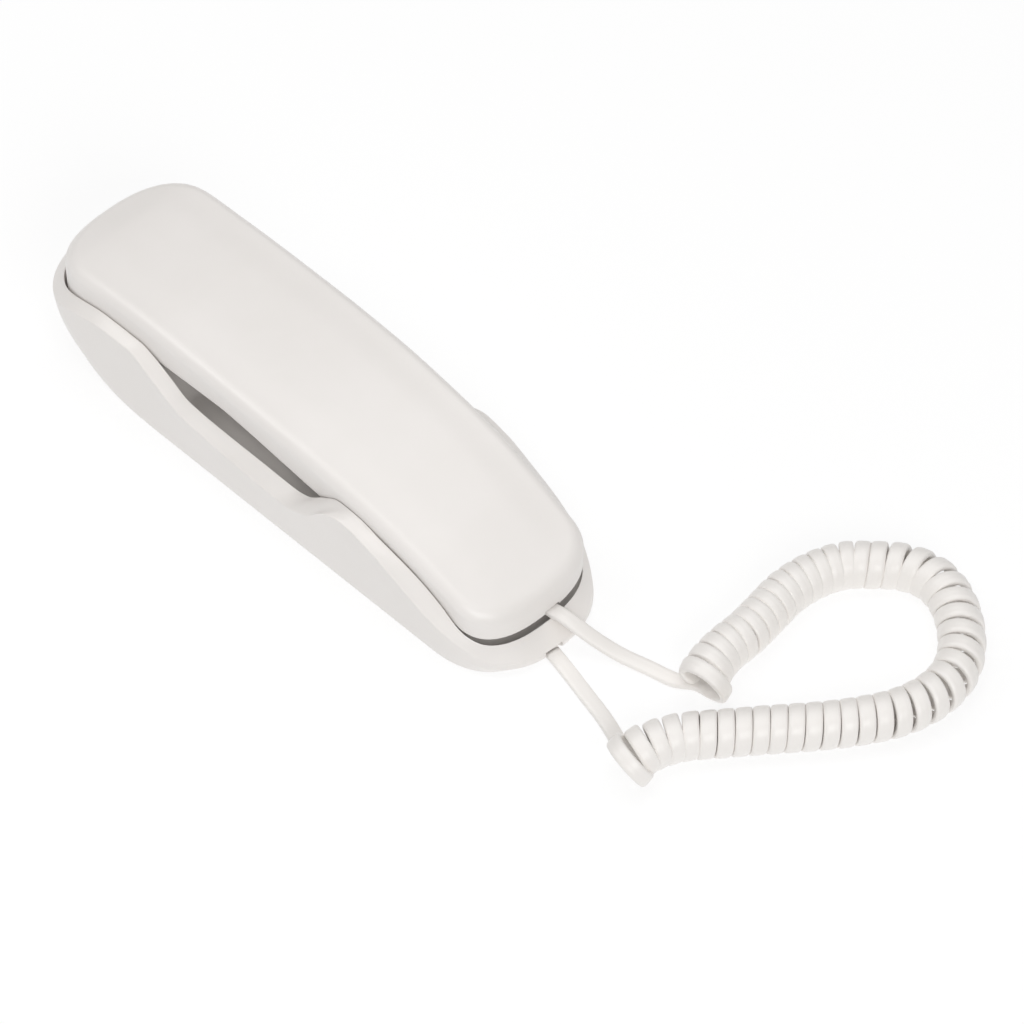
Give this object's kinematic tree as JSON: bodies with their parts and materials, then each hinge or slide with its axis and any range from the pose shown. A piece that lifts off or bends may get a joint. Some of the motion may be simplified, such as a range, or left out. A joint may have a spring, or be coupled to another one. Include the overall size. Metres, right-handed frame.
{
  "type": "slimline wall telephone",
  "caption": "Slim corded telephone: a boat-shaped wall base cradles a lift-off handset with its keypad on the inner face, joined by a curly cord.",
  "frame": {"origin": "on the flat wall face, under the middle of the base's length and width", "axes": "+X along the phone towards the mouthpiece and the cord, +Z out of the wall face towards the handset, so the keypad side of the handset faces -Z"},
  "size_m": [0.2974, 0.1288, 0.0469],
  "materials": {
    "shell_white": "warm off-white ABS, smooth satin",
    "cover_white": "off-white ABS, finely textured",
    "key_white": "off-white ABS, satin",
    "cord_white": "soft warm-white PVC, satin",
    "board_green": "green solder resist",
    "black_nylon": "black moulded nylon",
    "grey_silicone": "grey silicone rubber",
    "zinc_steel": "zinc-plated steel",
    "brass": "piezo disc's brass plate",
    "clear_plug": "clear polycarbonate, moulded"
  },
  "bodies": {
    "base": {"base_shell": "shell_white", "base_back_cover": "cover_white", "base_pcb": "board_green", "ringer": "brass", "hook_switch": "black_nylon", "hook_spring": "zinc_steel", "line_jack": "black_nylon", "base_cord_jack": "black_nylon", "base_screw_1": "zinc_steel", "base_screw_2": "zinc_steel", "base_screw_3": "zinc_steel", "base_screw_4": "zinc_steel", "plug_base": "clear_plug", "lead_base": "cord_white", "cord_coil": "cord_white", "lead_handset": "cord_white"},
    "handset": {"handset_top_shell": "shell_white", "handset_bottom_shell": "shell_white", "receiver": "black_nylon", "receiver_gasket": "grey_silicone", "microphone": "zinc_steel", "mic_boot": "grey_silicone", "keypad_mat": "grey_silicone", "handset_pcb": "board_green", "handset_weight": "zinc_steel", "handset_cord_jack": "black_nylon", "handset_screw_1": "zinc_steel", "handset_screw_2": "zinc_steel", "plug_handset": "clear_plug"},
    "hook_plunger": {"hook_plunger": "key_white"},
    "ringer_switch": {"ringer_switch": "key_white"},
    "key_1": {"key_1": "key_white"},
    "key_2": {"key_2": "key_white"},
    "key_3": {"key_3": "key_white"},
    "key_4": {"key_4": "key_white"},
    "key_5": {"key_5": "key_white"},
    "key_6": {"key_6": "key_white"},
    "key_7": {"key_7": "key_white"},
    "key_8": {"key_8": "key_white"},
    "key_9": {"key_9": "key_white"},
    "key_star": {"key_star": "key_white"},
    "key_0": {"key_0": "key_white"},
    "key_hash": {"key_hash": "key_white"},
    "key_flash": {"key_flash": "key_white"},
    "key_redial": {"key_redial": "key_white"}
  },
  "joints": [
    {"name": "handset_lift", "type": "slide", "parent": "base", "child": "handset", "axis": [0, 0, 1], "range_m": [0, 0.06]},
    {"name": "hook_plunger_slide", "type": "slide", "parent": "base", "child": "hook_plunger", "axis": [0, 0, 1], "range_m": [0, 0.003], "stiffness_N_per_m": 50, "springref_m": 0.0045, "deforming": ["hook_spring"]},
    {"name": "ringer_switch_slide", "type": "slide", "parent": "base", "child": "ringer_switch", "axis": [1, 0, 0], "range_m": [-0.002, 0.002]},
    {"name": "key_1_press", "type": "slide", "parent": "handset", "child": "key_1", "axis": [0.1516, 0, 0.9884], "range_m": [0, 0.0012], "stiffness_N_per_m": 400, "springref_m": -0.0005},
    {"name": "key_2_press", "type": "slide", "parent": "handset", "child": "key_2", "axis": [0.1516, 0, 0.9884], "range_m": [0, 0.0012], "stiffness_N_per_m": 400, "springref_m": -0.0005},
    {"name": "key_3_press", "type": "slide", "parent": "handset", "child": "key_3", "axis": [0.1516, 0, 0.9884], "range_m": [0, 0.0012], "stiffness_N_per_m": 400, "springref_m": -0.0005},
    {"name": "key_4_press", "type": "slide", "parent": "handset", "child": "key_4", "axis": [0.1516, 0, 0.9884], "range_m": [0, 0.0012], "stiffness_N_per_m": 400, "springref_m": -0.0005},
    {"name": "key_5_press", "type": "slide", "parent": "handset", "child": "key_5", "axis": [0.1516, 0, 0.9884], "range_m": [0, 0.0012], "stiffness_N_per_m": 400, "springref_m": -0.0005},
    {"name": "key_6_press", "type": "slide", "parent": "handset", "child": "key_6", "axis": [0.1516, 0, 0.9884], "range_m": [0, 0.0012], "stiffness_N_per_m": 400, "springref_m": -0.0005},
    {"name": "key_7_press", "type": "slide", "parent": "handset", "child": "key_7", "axis": [0.1516, 0, 0.9884], "range_m": [0, 0.0012], "stiffness_N_per_m": 400, "springref_m": -0.0005},
    {"name": "key_8_press", "type": "slide", "parent": "handset", "child": "key_8", "axis": [0.1516, 0, 0.9884], "range_m": [0, 0.0012], "stiffness_N_per_m": 400, "springref_m": -0.0005},
    {"name": "key_9_press", "type": "slide", "parent": "handset", "child": "key_9", "axis": [0.1516, 0, 0.9884], "range_m": [0, 0.0012], "stiffness_N_per_m": 400, "springref_m": -0.0005},
    {"name": "key_star_press", "type": "slide", "parent": "handset", "child": "key_star", "axis": [0.1516, 0, 0.9884], "range_m": [0, 0.0012], "stiffness_N_per_m": 400, "springref_m": -0.0005},
    {"name": "key_0_press", "type": "slide", "parent": "handset", "child": "key_0", "axis": [0.1516, 0, 0.9884], "range_m": [0, 0.0012], "stiffness_N_per_m": 400, "springref_m": -0.0005},
    {"name": "key_hash_press", "type": "slide", "parent": "handset", "child": "key_hash", "axis": [0.1516, 0, 0.9884], "range_m": [0, 0.0012], "stiffness_N_per_m": 400, "springref_m": -0.0005},
    {"name": "key_flash_press", "type": "slide", "parent": "handset", "child": "key_flash", "axis": [0.1516, 0, 0.9884], "range_m": [0, 0.0012], "stiffness_N_per_m": 400, "springref_m": -0.0005},
    {"name": "key_redial_press", "type": "slide", "parent": "handset", "child": "key_redial", "axis": [0.1516, 0, 0.9884], "range_m": [0, 0.0012], "stiffness_N_per_m": 400, "springref_m": -0.0005}
  ],
  "couplings": [
    {"joint": "hook_plunger_slide", "follows": "handset_lift", "ratio": 0.05}
  ]
}
